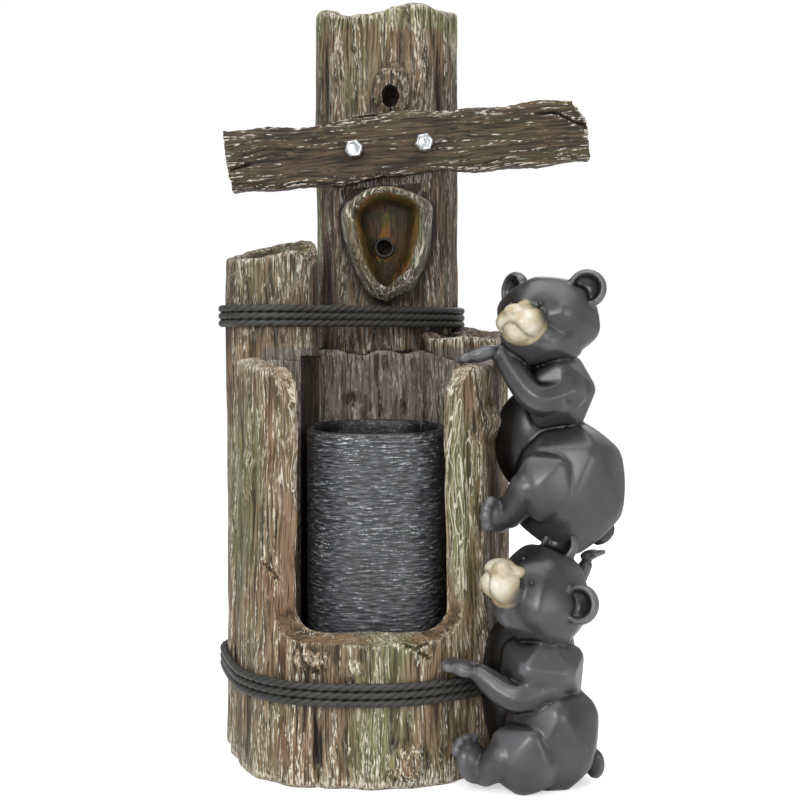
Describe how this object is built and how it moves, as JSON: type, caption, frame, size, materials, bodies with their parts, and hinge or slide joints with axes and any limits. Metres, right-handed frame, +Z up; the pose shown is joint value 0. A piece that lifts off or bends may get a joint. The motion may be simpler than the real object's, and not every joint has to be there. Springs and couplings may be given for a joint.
{
  "type": "garden fountain",
  "caption": "Garden fountain cast as bound hollow logs with a tall trunk, crossboard, spout and basin, and two bear cubs climbing its side.",
  "frame": {"origin": "on the ground at the axis of the front stump", "axes": "+Z up, +Y to the back, so the window and spout face -Y; +X is the cubs' side"},
  "size_m": [0.4686, 0.4362, 0.8995],
  "materials": {
    "bark_resin": "cast resin painted as weathered bark, white dry brushing and moss green",
    "board_resin": "cast resin painted as a weathered plank",
    "slate_resin": "dark slate grey resin with light dry-brushed ripples",
    "rope_resin": "moulded rope, dark grey, satin",
    "cub_resin": "smooth satin charcoal resin with a cream muzzle",
    "bolt_metal": "zinc plated",
    "hose_rubber": "black hose"
  },
  "bodies": {
    "root": {"log_body": "bark_resin", "cascade_vessel": "slate_resin", "crossboard": "board_resin", "bolt_left": "bolt_metal", "bolt_right": "bolt_metal", "upper_rope": "rope_resin", "lower_rope": "rope_resin", "upper_cub": "cub_resin", "lower_cub": "cub_resin", "outlet_tube": "hose_rubber"}
  },
  "joints": []
}
